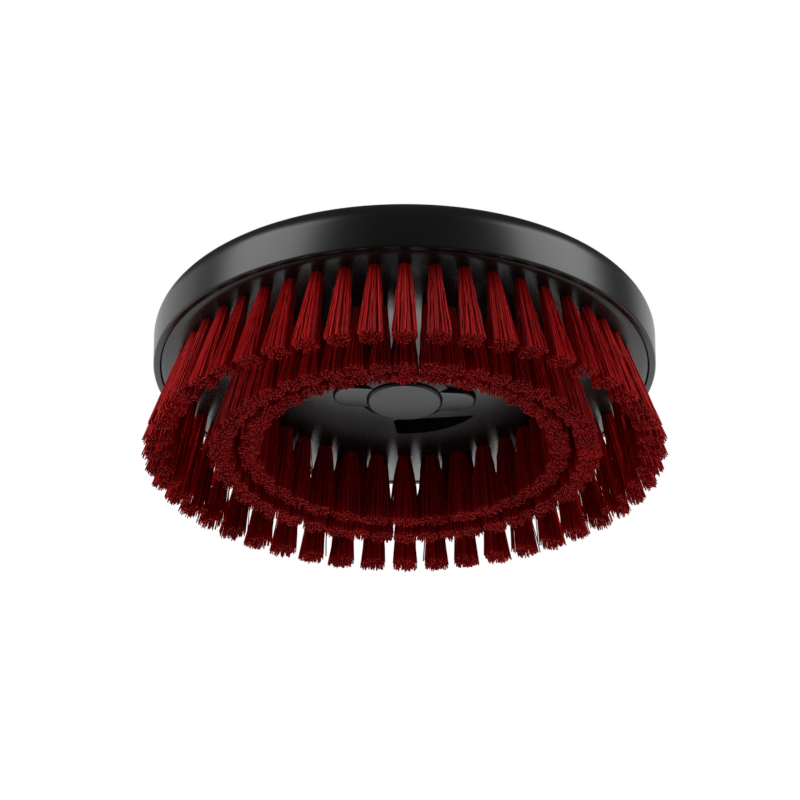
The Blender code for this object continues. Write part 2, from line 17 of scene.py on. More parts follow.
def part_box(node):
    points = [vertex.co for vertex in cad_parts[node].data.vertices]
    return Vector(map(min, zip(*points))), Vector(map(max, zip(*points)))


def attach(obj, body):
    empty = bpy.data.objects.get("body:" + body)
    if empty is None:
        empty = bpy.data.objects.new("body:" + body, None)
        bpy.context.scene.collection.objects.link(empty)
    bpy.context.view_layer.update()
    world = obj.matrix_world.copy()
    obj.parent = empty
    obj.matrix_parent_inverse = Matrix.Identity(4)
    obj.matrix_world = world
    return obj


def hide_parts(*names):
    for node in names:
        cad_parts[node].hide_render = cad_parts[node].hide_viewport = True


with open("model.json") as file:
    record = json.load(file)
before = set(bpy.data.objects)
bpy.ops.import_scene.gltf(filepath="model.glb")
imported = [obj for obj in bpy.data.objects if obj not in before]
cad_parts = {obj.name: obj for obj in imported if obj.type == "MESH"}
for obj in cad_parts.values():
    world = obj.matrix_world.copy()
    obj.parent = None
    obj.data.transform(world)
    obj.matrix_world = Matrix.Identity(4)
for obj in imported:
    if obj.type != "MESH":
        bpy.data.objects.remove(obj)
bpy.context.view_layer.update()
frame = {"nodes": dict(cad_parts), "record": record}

bl_info = {
    "name": "Wheel brush",
    "version": (1, 0, 0),
    "blender": (4, 5, 0),
    "location": "View3D > Sidebar > Wheel brush",
    "description": "Builds the finished surfaces, tufts and studio of a rotary wheel brush",
    "category": "Add Mesh",
}

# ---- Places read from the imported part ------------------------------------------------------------
COVER_LOW, COVER_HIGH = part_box("cover")
CENTRE_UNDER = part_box("brush_block")[0].z
CAP_LOW, CAP_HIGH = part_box("knob_cap")
KNOB_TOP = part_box("lock_knob")[1].z
SLEEVE_LOW, SLEEVE_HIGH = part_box("drive_sleeve")
SCREW_LOW, SCREW_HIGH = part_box("cover_screw_1")
HUB_LOW, HUB_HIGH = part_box("hub_flange")
CAM_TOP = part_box("lock_cam")[1].z
RIM_HEIGHT = COVER_LOW.z
TOP_HEIGHT = COVER_HIGH.z
COLLAR_TOP = SLEEVE_HIGH.z
CAP_RADIUS = CAP_HIGH.x
SLEEVE_RADIUS = SLEEVE_HIGH.x

# ---- Fixed proportions of the moulding -----------------------------------------------------------
COVER_WALL = 0.0028
COVER_TOP = 0.0040
INNER_LIP = 0.0003
EDGE_ROUND = 0.0004
SEAT_GAP = 0.0003
CUT_PAST = 0.001
DOME_FLAT_RADIUS = 0.0350
BLOCK_THICKNESS = 0.0080
WINDOW_RADIUS = 0.0328
WINDOW_CHORD = 0.0204
WINDOW_END = 0.0070
WINDOW_ROUND = 0.0015
WINDOW_TURN = math.radians(-7)
WING_ANGLE = math.radians(6)
WING_REACH = 0.0284
WING_HALF = 0.0080
WING_HEIGHT = 0.0018
WING_END_SHARE = 0.9
WING_ROUND = 0.0010
BOSS_FOOT_RADIUS = 0.0185
CAP_EDGE = 0.0009
CAP_CHAMFER_RISE = 0.0008
CAP_ROUND = 0.00035
KNOB_ROUND = 0.0003
HUB_ROUND = 0.0005
SHAFT_RADIUS = 0.0077
SHAFT_END_GAP = 0.0022
COLLAR_RADIUS = 0.0168
FLANGE_RADIUS = 0.0242
POCKET_DEPTH = 0.0078
CAM_RADIUS = 0.0168
HEAD_PASSAGE_RADIUS = 0.0090
STOP_HALF = 0.0048
LOCK_TURN = math.radians(85)
HUB_SCREWS = 4
HUB_SCREW_CIRCLE = 0.0206
HUB_SCREW_ANGLE = math.radians(22.5)
SOCKET_FLATS = 0.0170
LEAD_RADIUS = 0.0107
LEAD_FOOT_RADIUS = 0.0070
POST_CIRCLE = 0.07575
COVER_SCREWS = 6
COVER_SCREW_ANGLE = math.radians(30)
SCREW_HEAD_RADIUS = 0.0032
SCREW_HEAD_HEIGHT = 0.0018
SCREW_SOCKET_FLATS = 0.0026
SCREW_SOCKET_DEPTH = 0.0011
SCREW_RADIUS = 0.0015
SCREW_HOLE_RADIUS = 0.0018
SCREW_POCKET_RADIUS = 0.0035
ROUND_STEPS = 192
SMALL_STEPS = 96
SCREW_STEPS = 40
HOLE_STEPS = 24
WINDOW_STEPS = 20
DOME_STEPS = 26

# A row's tufts lean outwards by splay. Their tips reach outward and inward of that, and tip_half to each
# side. Fullness bows a tuft's outer filaments away from its middle.
ROW_SIZES = "name tufts root_radius splay tip_height tip_half outward inward root_half fullness"
Row = namedtuple("Row", ROW_SIZES)
ROWS = (
    Row("outer_tufts", 48, 0.0880, 0.0120, 0.0, 0.0054, 0.0046, 0.0085, 0.0024, -0.10),
    Row("middle_tufts", 48, 0.0665, 0.0060, 0.0, 0.0049, 0.0064, 0.0046, 0.0019, 0.10),
    Row("inner_tufts", 32, 0.0570, 0.0045, 0.0014, 0.0064, 0.0050, 0.0048, 0.0022, 0.55),
)
GROUPS = 8
HOLE_LIP = (0.0028, 0.0036)
ROOT_SINK = 0.0020
STRAND_SEGMENTS = 6
CRIMP_WAVES = 3

# ---- How much tufts and filaments differ: most are the spread of a normal draw -------------------
TUFT_LEAN = 0.00035
TUFT_TONE = 0.09
STRAND_TONE = 0.20
STRAND_TURN = 0.15
STRAND_SPLAY = 0.07
STRAND_CROWDING = 0.45
TIP_SQUARENESS = 0.7

# ---- Studio --------------------------------------------------------------------------------------
FLOOR_HALF = 14.0
FLOOR_DEPTH = 1.35
SIDE_PANEL_ANGLES = (math.radians(-63), math.radians(71))
SIDE_PANEL_RISE = 0.45
SIDE_PANEL_DISTANCE = 1.3
SIDE_PANEL_SIZE = (1.0, 1.3)
LOW_PANEL_SIDE = Vector((0, 0.575, -0.814))
LOW_PANEL_DISTANCE = 1.2
LOW_PANEL_SIZE = (0.55, 0.40)
BACKDROP_SIDE = (-0.20, 0.98, 0.0)


# ---- Shader graph --------------------------------------------------------------------------------
class Value:
    """A shader output. Arithmetic on it adds Math nodes to its material."""

    def __init__(self, finish, socket):
        self.finish = finish
        self.socket = socket

    def math(self, operation, *terms):
        return self.finish.node("ShaderNodeMath", {"operation": operation}, dict(enumerate(terms)))

    def __add__(self, other):
        return self.math("ADD", self, other)

    def __sub__(self, other):
        return self.math("SUBTRACT", self, other)

    def __rsub__(self, other):
        return self.math("SUBTRACT", other, self)

    def __mul__(self, other):
        return self.math("MULTIPLY", self, other)

    def __truediv__(self, other):
        return self.math("DIVIDE", self, other)

    def __pow__(self, other):
        return self.math("POWER", self, other)

    __radd__ = __add__
    __rmul__ = __mul__

    def fraction(self):
        return self.math("FRACT", self)

    def below(self, low, high):
        """1 where the value is under low, falling smoothly to 0 at high."""
        settings = {"interpolation_type": "SMOOTHSTEP"}
        inputs = {"Value": self, "From Min": low, "From Max": high, "To Min": 1.0, "To Max": 0.0}
        return self.finish.node("ShaderNodeMapRange", settings, inputs)


class Finish:
    """A material on one Principled shader, with the object's own coordinates at hand."""

    def __init__(self, name, **constants):
        self.material = bpy.data.materials.new(name)
        self.material.use_nodes = True
        self.tree = self.material.node_tree
        self.shader = self.tree.nodes["Principled BSDF"]
        for socket, value in constants.items():
            self.shader.inputs[socket.replace("_", " ")].default_value = value
        self.place = self.node("ShaderNodeTexCoord", output="Object")

    def node(self, kind, settings=None, inputs=None, output=0):
        """Adds a node, makes its settings, then sets or links its sockets."""
        made = self.tree.nodes.new(kind)
        for key, value in (settings or {}).items():
            if key == "stops":
                ramp = made.color_ramp.elements
                while len(ramp) < len(value):
                    ramp.new(1.0)
                for stop, (position, colour) in zip(ramp, value):
                    stop.position = position
                    stop.color = (*colour, 1.0)
            else:
                setattr(made, key, value)
        for key, value in (inputs or {}).items():
            if isinstance(value, Value):
                self.tree.links.new(value.socket, made.inputs[key])
            else:
                made.inputs[key].default_value = value
        return Value(self, made.outputs[output])

    def noise(self, scale, detail=2.0, roughness=0.5, place=None):
        inputs = {"Vector": place or self.place, "Scale": scale, "Detail": detail, "Roughness": roughness}
        return self.node("ShaderNodeTexNoise", None, inputs)

    def ramp(self, factor, *stops):
        return self.node("ShaderNodeValToRGB", {"stops": stops}, {"Fac": factor})

    def stretched(self, scale):
        return self.node("ShaderNodeMapping", None, {"Vector": self.place, "Scale": scale})

    def parts(self):
        """The x, y and z of the object's coordinates."""
        split = self.tree.nodes.new("ShaderNodeSeparateXYZ")
        self.tree.links.new(self.place.socket, split.inputs[0])
        return [Value(self, socket) for socket in split.outputs]

    def feed(self, socket, value):
        self.tree.links.new(value.socket, self.shader.inputs[socket])

    def bump(self, height, strength, distance):
        inputs = {"Height": height, "Strength": strength, "Distance": distance}
        self.feed("Normal", self.node("ShaderNodeBump", None, inputs))


def shade(colour, factor):
    return tuple(channel * factor for channel in colour)


def shell_black(colour):
    """Satin moulded plastic: a fine even grain, with faint flow marks from the mould."""
    finish = Finish("shell_black", Specular_IOR_Level=0.5, IOR=1.5)
    grain = finish.noise(2600, 2.0)
    flow = finish.noise(28, 3.0)
    finish.feed("Base Color", finish.ramp(flow, (0.3, shade(colour, 0.85)), (0.7, shade(colour, 1.2))))
    finish.feed("Roughness", 0.25 + 0.05 * grain + 0.05 * flow)
    finish.bump(grain, 0.05, 0.0002)
    return finish.material


def dome_black(colour):
    """Polished plastic with a soft moulded lip round each tuft hole and a few hairline rubs, its colour
    lightened as painted reflection.
    """
    finish = Finish("dome_black", Specular_IOR_Level=0.5, IOR=1.5)
    x, y, _ = finish.parts()
    radius = (x * x + y * y) ** 0.5
    angle = x.math("ARCTAN2", y, x)
    lip = None
    for row in ROWS:
        step = 2 * math.pi / row.tufts
        offset = ((angle + math.pi / 2) / step + 0.5).fraction() - 0.5
        along = offset * (step * row.root_radius)
        across = radius - row.root_radius
        away = (along * along + across * across) ** 0.5
        ring = away.below(*HOLE_LIP)
        lip = ring if lip is None else lip + ring
    rubs = finish.noise(1.0, 3.0, 0.6, finish.stretched((900, 60, 60)))
    bloom = finish.noise(45, 3.0)
    # Painted reflection: the colour is 1.6 to 2.2 times the cover's plastic, standing in for light from
    # below reflected off the underside.
    finish.feed("Base Color", finish.ramp(bloom, (0.3, shade(colour, 1.6)), (0.7, shade(colour, 2.2))))
    finish.feed("Roughness", 0.23 + 0.06 * bloom + 0.03 * rubs)
    finish.bump(lip + 0.02 * rubs, 0.12, 0.0003)
    return finish.material


def filament_red(colour):
    """Extruded filament: each strand its own shade, and paler towards the cut tips."""
    finish = Finish("filament_red", Specular_IOR_Level=0.10, IOR=1.5)
    strand = finish.node("ShaderNodeAttribute", {"attribute_name": "strand"}, output="Fac")
    rise = finish.node("ShaderNodeAttribute", {"attribute_name": "rise"}, output="Fac")
    mottle = finish.noise(260, 2.0)
    # The rise term makes each filament paler from root to tip.
    tone = 0.62 * strand + 0.28 * mottle + 0.10 * rise
    red, green, blue = colour
    pale = (red * 1.60, green * 3.0, blue * 2.6)
    finish.feed("Base Color", finish.ramp(tone, (0.15, shade(colour, 0.40)), (0.50, colour), (0.85, pale)))
    finish.feed("Roughness", 0.46 + 0.14 * mottle + 0.06 * strand)
    finish.bump(mottle, 0.06, 0.0002)
    return finish.material


def plated_steel(colour):
    """Zinc-plated steel with turning marks round its axis and a faint bloom."""
    finish = Finish("plated_steel", Metallic=1.0)
    x, y, z = finish.parts()
    radius = (x * x + y * y) ** 0.5
    phase = (radius + z) * 5200
    turning = phase.math("SINE", phase)
    bloom = finish.noise(320, 3.0)
    finish.feed("Base Color", finish.ramp(bloom, (0.3, shade(colour, 0.86)), (0.75, shade(colour, 1.08))))
    finish.feed("Roughness", 0.25 + 0.12 * bloom + 0.02 * turning)
    finish.bump(turning, 0.08, 0.00004)
    return finish.material


def hub_plastic(colour):
    """Glass-filled plastic: matt, with short pale fibres near the surface."""
    finish = Finish("hub_plastic")
    fibres = finish.noise(1.0, 2.0, 0.5, finish.stretched((2600, 2600, 700)))
    finish.feed("Base Color", finish.ramp(fibres, (0.45, colour), (0.75, shade(colour, 2.0))))
    finish.feed("Roughness", 0.42 + 0.18 * fibres)
    finish.bump(fibres, 0.12, 0.0001)
    return finish.material


def seal_rubber(colour):
    """Soft rubber with a faint dusty bloom."""
    finish = Finish("seal_rubber")
    dust = finish.noise(700, 3.0)
    finish.feed("Base Color", finish.ramp(dust, (0.4, colour), (0.8, shade(colour, 1.9))))
    finish.feed("Roughness", 0.60 + 0.25 * dust)
    finish.bump(dust, 0.10, 0.0001)
    return finish.material


# Each slot's colour among the settings, and the function that makes its material.
FINISHES = {
    "black_satin": ("plastic", shell_black),
    "black_gloss": ("plastic", dome_black),
    "red_filament": ("filament", filament_red),
    "zinc_steel": ("steel", plated_steel),
    "hub_plastic": ("hub", hub_plastic),
    "seal_rubber": ("rubber", seal_rubber),
}
SLOT_OF = {row["node"]: row["material_slot"] for row in frame["record"]["subparts"]}
BODY_OF = {node: body for body, nodes in frame["record"]["behaviour"]["bodies"].items() for node in nodes}


def finish_for(slot):
    """The material of a slot, made when it is first asked for."""
    colour, make = FINISHES[slot]
    name = make.__name__
    found = bpy.data.materials.get(name)
    return found or make(tuple(getattr(bpy.context.scene.brush_colours, colour)))


# ---- Mesh helpers --------------------------------------------------------------------------------
def lathe(profile, steps):
    """Turns (radius, height) points about Z. A profile that starts and ends on the axis is solid."""
    shape = bmesh.new()
    verts = [shape.verts.new((radius, 0.0, height)) for radius, height in profile]
    pairs = list(zip(verts, verts[1:]))
    if profile[0][0] > 0.0:
        pairs.append((verts[-1], verts[0]))
    edges = [shape.edges.new(pair) for pair in pairs]
    bmesh.ops.spin(
        shape, geom=verts + edges, axis=(0, 0, 1), angle=2 * math.pi, steps=steps, use_merge=True
    )
    bmesh.ops.remove_doubles(shape, verts=shape.verts, dist=1e-7)
    bmesh.ops.recalc_face_normals(shape, faces=shape.faces)
    return shape


def arc(radius, height, reach, start, end, steps):
    """Points of a rounded corner, with angles in degrees from the outward side."""
    angles = [math.radians(start + (end - start) * index / steps) for index in range(steps + 1)]
    return [(radius + reach * math.cos(angle), height + reach * math.sin(angle)) for angle in angles]


def softened(profile, reach, steps=3):
    """The profile with each corner rounded by a short curve that starts reach away from it."""
    points = []
    count = len(profile)
    solid = profile[0][0] == 0.0
    for index, corner in enumerate(profile):
        if solid and index in (0, count - 1):
            points.append(corner)
            continue
        here = Vector(corner)
        before = Vector(profile[index - 1]) - here
        after = Vector(profile[(index + 1) % count]) - here
        length = min(reach, before.length * 0.4, after.length * 0.4)
        start = here + before.normalized() * length
        end = here + after.normalized() * length
        for step in range(steps + 1):
            share = step / steps
            bent = start.lerp(here, share).lerp(here.lerp(end, share), share)
            points.append((bent.x, bent.y))
    return points


def add_prism(shape, radius, foot, top, sides, centre, angle):
    """Adds a straight prism whose centre stands at a place turned by an angle about Z."""
    made = bmesh.ops.create_cone(
        shape, cap_ends=True, segments=sides, radius1=radius, radius2=radius, depth=top - foot
    )["verts"]
    lift = Matrix.Translation((centre, 0.0, (foot + top) / 2))
    bmesh.ops.transform(shape, verts=made, matrix=Matrix.Rotation(angle, 4, "Z") @ lift)


def around(count, first=0.0):
    """Angles spaced evenly round the axis."""
    return [first + 2 * math.pi * index / count for index in range(count)]


def upright_edges(shape, least=0.001):
    return [edge for edge in shape.edges if abs(edge.verts[0].co.z - edge.verts[1].co.z) > least]


def bevel(shape, edges, offset, segments):
    bmesh.ops.bevel(
        shape, geom=edges, offset=offset, affect="EDGES", segments=segments, profile=0.5, material=-1
    )


def mesh_of(name, shape):
    mesh = bpy.data.meshes.new(name)
    shape.to_mesh(mesh)
    shape.free()
    return mesh


def link(name, mesh):
    obj = bpy.data.objects.new(name, mesh)
    bpy.context.scene.collection.objects.link(obj)
    return obj


def carved(name, shape, *cutters):
    """The mesh of a shape with cutters taken out of it."""
    raw = link("raw_" + name, mesh_of(name, shape))
    helpers = [raw]
    for cutter in cutters:
        helper = link("cutter", mesh_of("cutter", cutter))
        helpers.append(helper)
        boolean = raw.modifiers.new("Cut", "BOOLEAN")
        boolean.operation = "DIFFERENCE"
        boolean.solver = "EXACT"
        boolean.object = helper
    graph = bpy.context.evaluated_depsgraph_get()
    mesh = bpy.data.meshes.new_from_object(raw.evaluated_get(graph))
    mesh.name = name
    for helper in helpers:
        bpy.data.objects.remove(helper)
    return mesh


def add_piece(name, mesh, *nodes, sharp=35.0):
    """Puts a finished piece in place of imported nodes, with their slot's material and their body."""
    slot = SLOT_OF[nodes[0]]
    mesh.materials.clear()
    mesh.materials.append(finish_for(slot))
    mesh.shade_smooth()
    mesh.set_sharp_from_angle(angle=math.radians(sharp))
    obj = link(name, mesh)
    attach(obj, BODY_OF[nodes[0]])
    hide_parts(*nodes)
    return obj


# ---- Shells --------------------------------------------------------------------------------------
def block_radius(sizes):
    return sizes.body_radius - COVER_WALL - SEAT_GAP


def dome_height(radius, sizes):
    """Height of the block's underside: flat at the centre, then rising to the rim on a cosine."""
    if radius <= DOME_FLAT_RADIUS:
        return RIM_HEIGHT - sizes.dome_depth
    share = (radius - DOME_FLAT_RADIUS) / (block_radius(sizes) - DOME_FLAT_RADIUS)
    return RIM_HEIGHT - sizes.dome_depth * math.cos(share * math.pi / 2)


def cover_mesh(sizes):
    bore = COLLAR_RADIUS + SEAT_GAP
    inner_top = TOP_HEIGHT - COVER_TOP
    inner_radius = sizes.body_radius - COVER_WALL
    corner = sizes.corner_radius
    inner_corner = corner - COVER_TOP
    lip = sizes.rim_round
    profile = [(bore, TOP_HEIGHT - EDGE_ROUND), (bore + EDGE_ROUND, TOP_HEIGHT)]
    profile += arc(sizes.body_radius - corner, TOP_HEIGHT - corner, corner, 90, 0, 20)
    profile += arc(sizes.body_radius - lip, RIM_HEIGHT + lip, lip, 0, -90, 5)
    profile += [(inner_radius + INNER_LIP, RIM_HEIGHT), (inner_radius, RIM_HEIGHT + INNER_LIP)]
    profile += arc(inner_radius - inner_corner, inner_top - inner_corner, inner_corner, 0, 90, 8)
    profile.append((bore, inner_top))
    pockets = bmesh.new()
    holes = bmesh.new()
    seat = TOP_HEIGHT - SCREW_HEAD_HEIGHT - SEAT_GAP
    for angle in around(COVER_SCREWS, COVER_SCREW_ANGLE):
        top = TOP_HEIGHT + CUT_PAST
        add_prism(pockets, SCREW_POCKET_RADIUS, seat, top, SCREW_STEPS, POST_CIRCLE, angle)
        foot = inner_top - CUT_PAST
        add_prism(holes, SCREW_HOLE_RADIUS, foot, seat + CUT_PAST, HOLE_STEPS, POST_CIRCLE, angle)
    return carved("cover_shell", lathe(profile, ROUND_STEPS), pockets, holes)


def window(turn, foot, top):
    """A drain window: the part of a disc beyond a chord, cut off square at one end."""
    first = math.acos(-WINDOW_END / WINDOW_RADIUS)
    last = math.asin(WINDOW_CHORD / WINDOW_RADIUS)
    shape = bmesh.new()
    corner = shape.verts.new((-WINDOW_END, WINDOW_CHORD, foot))
    verts = [corner]
    for index in range(WINDOW_STEPS + 1):
        angle = last + (first - last) * index / WINDOW_STEPS
        place = (WINDOW_RADIUS * math.cos(angle), WINDOW_RADIUS * math.sin(angle), foot)
        verts.append(shape.verts.new(place))
    face = shape.faces.new(verts)
    raised = bmesh.ops.extrude_face_region(shape, geom=[face])["geom"]
    risen = [item for item in raised if isinstance(item, bmesh.types.BMVert)]
    bmesh.ops.translate(shape, verts=risen, vec=(0, 0, top - foot))
    end_edges = [edge for edge in upright_edges(shape) if abs(edge.verts[0].co.x + WINDOW_END) < 1e-6]
    bevel(shape, end_edges, WINDOW_ROUND, 6)
    bmesh.ops.rotate(shape, verts=shape.verts, matrix=Matrix.Rotation(turn, 3, "Z"))
    bmesh.ops.recalc_face_normals(shape, faces=shape.faces)
    return shape


def block_mesh(sizes):
    edge = block_radius(sizes)
    bore = SHAFT_RADIUS + SEAT_GAP
    rise = edge - DOME_FLAT_RADIUS
    radii = [DOME_FLAT_RADIUS + rise * index / DOME_STEPS for index in range(DOME_STEPS + 1)]
    under = [(radius, dome_height(radius, sizes)) for radius in radii]
    under[-1] = (edge - EDGE_ROUND, under[-1][1])
    back = [(radius, height + BLOCK_THICKNESS) for radius, height in reversed(under)]
    profile = [(bore, CENTRE_UNDER + EDGE_ROUND), (bore + EDGE_ROUND, CENTRE_UNDER), *under]
    profile.append((edge, RIM_HEIGHT + EDGE_ROUND))
    profile.append((edge, RIM_HEIGHT + BLOCK_THICKNESS - EDGE_ROUND))
    profile += [*back, (bore, CENTRE_UNDER + BLOCK_THICKNESS)]
    foot = CENTRE_UNDER - CUT_PAST
    top = CENTRE_UNDER + BLOCK_THICKNESS + CUT_PAST
    cutters = [window(turn, foot, top) for turn in around(2, WINDOW_TURN)]
    return carved("tuft_block", lathe(profile, ROUND_STEPS), *cutters)


# ---- Tufts ---------------------------------------------------------------------------------------
def strand_template(segments):
    """One filament, one unit long about its middle, with rings of four points."""
    shape = bmesh.new()
    bmesh.ops.create_cone(shape, cap_ends=True, segments=4, radius1=1.0, radius2=1.0, depth=1.0)
    uprights = upright_edges(shape, least=0.5)
    bmesh.ops.subdivide_edges(shape, edges=uprights, cuts=segments - 1, use_grid_fill=True)
    return mesh_of("strand", shape)


def add_strand(shape, template, spin, radius, tone, course):
    """Adds one filament along a course, which gives its centre for each share of the way to the tip."""
    strand_layer = shape.verts.layers.float["strand"]
    rise_layer = shape.verts.layers.float["rise"]
    first = len(shape.verts)
    shape.from_mesh(template)
    shape.verts.ensure_lookup_table()
    for vert in shape.verts[first:]:
        share = 0.5 - vert.co.z
        side = Vector((vert.co.x, vert.co.y, 0)) * radius
        vert.co = spin @ (course(share) + side)
        vert[strand_layer] = tone
        vert[rise_layer] = share


def tuft_mesh(name, row, sizes, template, group):
    """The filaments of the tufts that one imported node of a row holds."""
    draw = random.Random(name)
    shape = bmesh.new()
    shape.verts.layers.float.new("strand")
    shape.verts.layers.float.new("rise")
    per_group = row.tufts // GROUPS
    root = dome_height(row.root_radius, sizes) + ROOT_SINK
    golden = math.pi * (3 - math.sqrt(5))
    for index in range(per_group):
        turn = -math.pi / 2 + 2 * math.pi * (group * per_group + index) / row.tufts
        spin = Matrix.Rotation(turn, 3, "Z")
        tuft_lean = Vector((draw.gauss(0, TUFT_LEAN), draw.gauss(0, TUFT_LEAN), 0))
        tuft_tone = draw.gauss(0, TUFT_TONE)
        start_angle = draw.uniform(0, 2 * math.pi)
        for strand in range(sizes.strands):
            reach = ((strand + 0.5) / sizes.strands) ** STRAND_CROWDING
            angle = start_angle + strand * golden + draw.gauss(0, STRAND_TURN)
            unit = Vector((math.cos(angle), math.sin(angle), 0)) * reach
            square = max(abs(math.cos(angle)), abs(math.sin(angle))) ** -TIP_SQUARENESS
            depth = row.outward if unit.x > 0 else row.inward
            foot = Vector((row.root_radius, 0, root)) + unit * (row.root_half - sizes.strand_radius)
            # Outer filaments splay a little unevenly, and never past the row's own outline.
            splay = 1 - abs(draw.gauss(0, STRAND_SPLAY))
            tip = Vector(
                (
                    row.root_radius + row.splay + unit.x * (depth - sizes.strand_radius) * splay,
                    unit.y * square * (row.tip_half - sizes.strand_radius) * splay,
                    row.tip_height + sizes.trim * draw.random() ** 2,
                )
            )
            tip += tuft_lean * (1 - reach) * 0.8 + Vector((-abs(tuft_lean.x), tuft_lean.y, 0)) * 0.6
            flare = Vector((tip.x - row.root_radius - row.splay, tip.y, 0)) * row.fullness
            bow = Vector((draw.gauss(0, 1), draw.gauss(0, 1), 0)) * sizes.bow
            wave = Vector((draw.gauss(0, 1), draw.gauss(0, 1), 0)) * sizes.crimp
            phase = draw.uniform(0, 2 * math.pi)
            tone = min(1.0, max(0.0, 0.5 + tuft_tone + draw.gauss(0, STRAND_TONE)))

            def course(share):
                centre = foot.lerp(tip, share)
                centre += flare * (share * (1 - share))
                centre += bow * math.sin(math.pi * share)
                turned = 2 * math.pi * CRIMP_WAVES * share + phase
                return centre + wave * math.sin(turned) * math.sin(math.pi * share)

            add_strand(shape, template, spin, sizes.strand_radius, tone, course)
    return mesh_of(name, shape)


# ---- Twist lock, hub and screws ------------------------------------------------------------------
def knob_mesh():
    """The boss with its wings, and the shaft behind them."""
    top = CENTRE_UNDER - SEAT_GAP
    boss_face = CAP_HIGH.z + SEAT_GAP
    wing_face = top - WING_HEIGHT
    shaft_end = KNOB_TOP - SHAFT_END_GAP
    profile = (
        (0.0, boss_face),
        (CAP_RADIUS - CAP_EDGE, boss_face),
        (BOSS_FOOT_RADIUS, top - KNOB_ROUND),
        (BOSS_FOOT_RADIUS, top),
        (SHAFT_RADIUS, top),
        (SHAFT_RADIUS, shaft_end),
        (0.0, shaft_end),
    )
    shape = lathe(softened(profile, KNOB_ROUND), SMALL_STEPS)
    wings = bmesh.new()
    bmesh.ops.create_cube(wings, size=1.0)
    bmesh.ops.scale(wings, verts=wings.verts, vec=(2 * WING_REACH, 2 * WING_HALF, top - wing_face))
    bmesh.ops.translate(wings, verts=wings.verts, vec=(0, 0, (top + wing_face) / 2))
    bevel(wings, upright_edges(wings), WING_HALF * WING_END_SHARE, 16)
    rim = [edge for edge in wings.edges if max(vert.co.z for vert in edge.verts) < wing_face + 1e-6]
    bevel(wings, rim, WING_ROUND, 5)
    bmesh.ops.rotate(wings, verts=wings.verts, matrix=Matrix.Rotation(WING_ANGLE, 3, "Z"))
    shape.from_mesh(mesh_of("wings", wings))
    return mesh_of("finger_knob", shape)


def cap_mesh():
    """The round disc, with a chamfer round its face."""
    low, high = CAP_LOW.z, CAP_HIGH.z
    profile = (
        (0.0, low),
        (CAP_RADIUS - CAP_EDGE, low),
        (CAP_RADIUS, low + CAP_CHAMFER_RISE),
        (CAP_RADIUS, high),
        (0.0, high),
    )
    return mesh_of("finger_cap", lathe(softened(profile, CAP_ROUND, 4), SMALL_STEPS))


def sleeve_mesh():
    """The steel sleeve, with a cone that leads the spindle into its hexagon socket."""
    low = SLEEVE_LOW.z
    cone_foot = COLLAR_TOP - (LEAD_RADIUS - LEAD_FOOT_RADIUS)
    profile = (
        (0.0, low),
        (SLEEVE_RADIUS, low),
        (SLEEVE_RADIUS, COLLAR_TOP),
        (LEAD_RADIUS, COLLAR_TOP),
        (LEAD_FOOT_RADIUS, cone_foot),
        (0.0, cone_foot),
    )
    socket = bmesh.new()
    corners = SOCKET_FLATS / math.sqrt(3)
    add_prism(socket, corners, low - CUT_PAST, COLLAR_TOP + CUT_PAST, 6, 0.0, 0.0)
    return carved("spindle_sleeve", lathe(softened(profile, EDGE_ROUND), SMALL_STEPS), socket)


def add_bar(shape, inner, outer, half, low, high, angle):
    """Adds a straight bar that runs outwards from the axis at an angle."""
    made = bmesh.ops.create_cube(shape, size=1.0)["verts"]
    size = Matrix.Diagonal((outer - inner, 2 * half, high - low, 1.0))
    place = Matrix.Translation(((inner + outer) / 2, 0.0, (low + high) / 2))
    bmesh.ops.transform(shape, verts=made, matrix=Matrix.Rotation(angle, 4, "Z") @ place @ size)


def hub_mesh():
    """The flange with the lock's stops in its pocket, and the collar that stands through the cover."""
    low, high = HUB_LOW.z, HUB_HIGH.z
    flange_top = SLEEVE_LOW.z - SEAT_GAP
    pocket_top = low + POCKET_DEPTH
    bore = SLEEVE_RADIUS + SEAT_GAP
    pocket = CAM_RADIUS + SEAT_GAP
    profile = (
        (pocket, low),
        (FLANGE_RADIUS, low),
        (FLANGE_RADIUS, flange_top),
        (COLLAR_RADIUS, flange_top),
        (COLLAR_RADIUS, high),
        (bore, high),
        (bore, flange_top),
        (HEAD_PASSAGE_RADIUS, flange_top),
        (HEAD_PASSAGE_RADIUS, pocket_top),
        (pocket, pocket_top),
    )
    holes = bmesh.new()
    for angle in around(HUB_SCREWS, HUB_SCREW_ANGLE):
        top = flange_top + CUT_PAST
        add_prism(holes, SCREW_HOLE_RADIUS, low - CUT_PAST, top, HOLE_STEPS, HUB_SCREW_CIRCLE, angle)
    mesh = carved("drive_hub", lathe(softened(profile, HUB_ROUND, 4), SMALL_STEPS), holes)
    shape = bmesh.new()
    shape.from_mesh(mesh)
    foot = CAM_TOP + SEAT_GAP
    for angle in around(2, WING_ANGLE + (LOCK_TURN + math.pi) / 2):
        add_bar(shape, HEAD_PASSAGE_RADIUS, pocket, STOP_HALF, foot, pocket_top, angle)
    return mesh_of("drive_hub", shape)


def screw_mesh(name, angle):
    """One of the cover's screws, with a rounded head and a hexagon socket."""
    low, high = SCREW_LOW.z, SCREW_HIGH.z
    foot = high - SCREW_HEAD_HEIGHT
    profile = (
        (0.0, low),
        (SCREW_RADIUS, low),
        (SCREW_RADIUS, foot),
        (SCREW_HEAD_RADIUS, foot),
        (SCREW_HEAD_RADIUS, high),
        (0.0, high),
    )
    socket = bmesh.new()
    corners = SCREW_SOCKET_FLATS / math.sqrt(3)
    add_prism(socket, corners, high - SCREW_SOCKET_DEPTH, high + CUT_PAST, 6, 0.0, 0.0)
    mesh = carved(name, lathe(softened(profile, EDGE_ROUND), SCREW_STEPS), socket)
    place = (POST_CIRCLE * math.cos(angle), POST_CIRCLE * math.sin(angle), 0)
    mesh.transform(Matrix.Translation(place))
    return mesh


